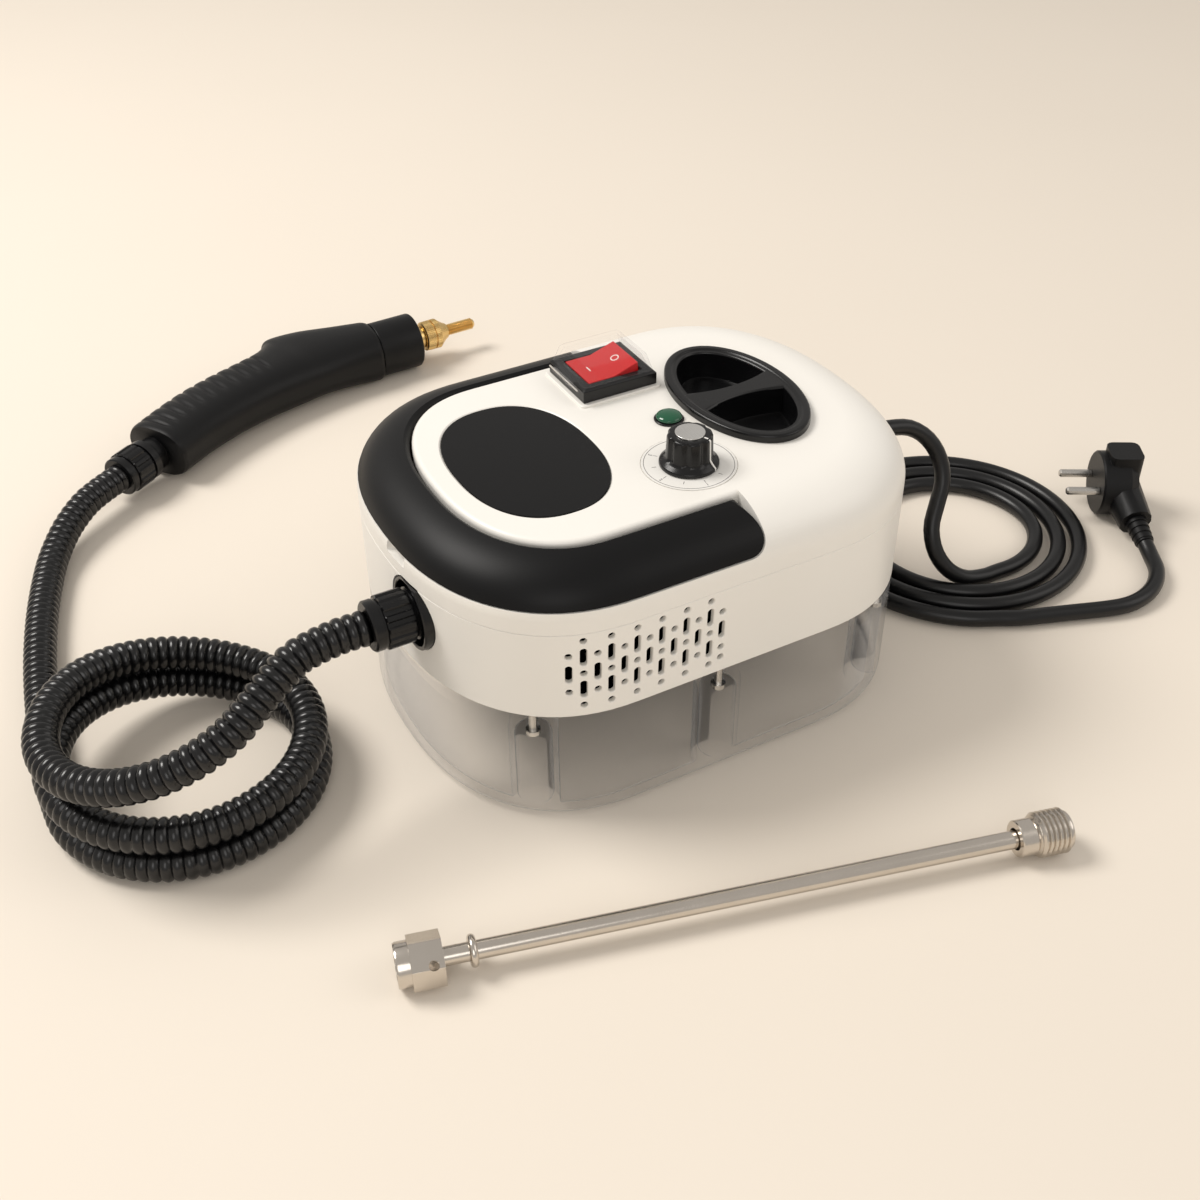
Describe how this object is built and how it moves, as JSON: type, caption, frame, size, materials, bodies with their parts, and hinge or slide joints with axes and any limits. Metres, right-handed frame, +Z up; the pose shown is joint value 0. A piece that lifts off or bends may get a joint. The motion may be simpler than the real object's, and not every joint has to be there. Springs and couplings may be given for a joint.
{
  "type": "steam cleaner",
  "caption": "Countertop steam cleaner: oval housing on a clear water tank, bail handle, filler cap, switch and knob, with steam hose, gun, extension wand and mains lead.",
  "frame": {"origin": "centre of the water tank's flat underside", "axes": "+Z up; X along the housing, hose end at -X and mains lead at +X; the vents face -Y"},
  "size_m": [0.635, 0.6041, 0.1584],
  "materials": {
    "white_shell": "warm white moulded plastic, softly glossy",
    "clear_tank": "clear moulded plastic, slightly smoky",
    "black_plastic": "black moulded plastic, satin to glossy",
    "black_grip": "black moulded plastic, fine matte grain",
    "black_rubber": "black rubber, dull",
    "red_rocker": "translucent red plastic, glossy",
    "green_lens": "dark green translucent lens, glossy",
    "bright_steel": "warm bright plated steel, fine turning marks",
    "brass": "turned brass, bright",
    "board_green": "green laminate",
    "dial_print": "white plate, satin",
    "silver_disc": "spun aluminium, bright"
  },
  "bodies": {
    "root": {"water_tank": "clear_tank", "tank_screw_1": "bright_steel", "tank_screw_2": "bright_steel", "tank_screw_3": "bright_steel", "tank_screw_4": "bright_steel", "tank_screw_5": "bright_steel", "tank_screw_6": "bright_steel", "tank_gasket": "black_rubber", "chassis_plate": "black_plastic", "housing_band": "white_shell", "upper_shell": "white_shell", "handle_pin_front": "bright_steel", "handle_pin_rear": "bright_steel", "filler_neck": "black_plastic", "switch_frame": "black_plastic", "cover_hinge_pin": "bright_steel", "dial_plate": "dial_print", "thermostat": "bright_steel", "lamp_bezel": "black_plastic", "lamp_lens": "green_lens", "deck_panel": "black_plastic", "hose_port": "black_plastic", "port_hose_nut": "black_plastic", "hose_port_stretch": "black_rubber", "hose_coil": "black_rubber", "hose_gun_stretch": "black_rubber", "gun_hose_nut": "black_plastic", "gun_inlet": "black_plastic", "gun_shell_left": "black_grip", "gun_shell_right": "black_grip", "gun_collar": "black_grip", "nozzle_flange": "brass", "nozzle_nut": "brass", "nozzle_stub": "brass", "wand_socket": "bright_steel", "wand_tube": "bright_steel", "wand_ring": "bright_steel", "wand_thread_end": "bright_steel", "cord_gland": "black_plastic", "lead_drop": "black_rubber", "lead_coil": "black_rubber", "lead_tail": "black_rubber", "plug_body": "black_plastic", "plug_tail": "black_plastic", "plug_pin_1": "bright_steel", "plug_pin_2": "bright_steel", "boiler": "bright_steel", "pump": "black_plastic", "control_board": "board_green"},
    "handle": {"carry_handle": "black_plastic"},
    "cap": {"filler_cap": "black_plastic", "cap_seal": "black_rubber"},
    "rocker": {"switch_rocker": "red_rocker"},
    "cover": {"switch_cover": "clear_tank"},
    "knob": {"temperature_knob": "black_plastic", "knob_disc": "silver_disc", "knob_spindle": "bright_steel"}
  },
  "joints": [
    {"name": "handle_swing", "type": "hinge", "parent": "root", "child": "handle", "pos_m": [0.0055, 0, 0.1302], "axis": [0, 1, 0], "range_deg": [0, 90]},
    {"name": "cap_lift", "type": "slide", "parent": "root", "child": "cap", "axis": [0, 0, 1], "range_m": [0, 0.03]},
    {"name": "rocker_tip", "type": "hinge", "parent": "root", "child": "rocker", "pos_m": [0.0095, 0.0455, 0.1445], "axis": [0, 1, 0], "range_deg": [0, 18]},
    {"name": "cover_swing", "type": "hinge", "parent": "root", "child": "cover", "pos_m": [-0.0124, 0.0455, 0.1462], "axis": [0, -1, 0], "range_deg": [0, 95]},
    {"name": "knob_turn", "type": "hinge", "parent": "root", "child": "knob", "pos_m": [0.007, -0.041, 0.139], "axis": [0, 0, -1], "range_deg": [0, 270]}
  ]
}
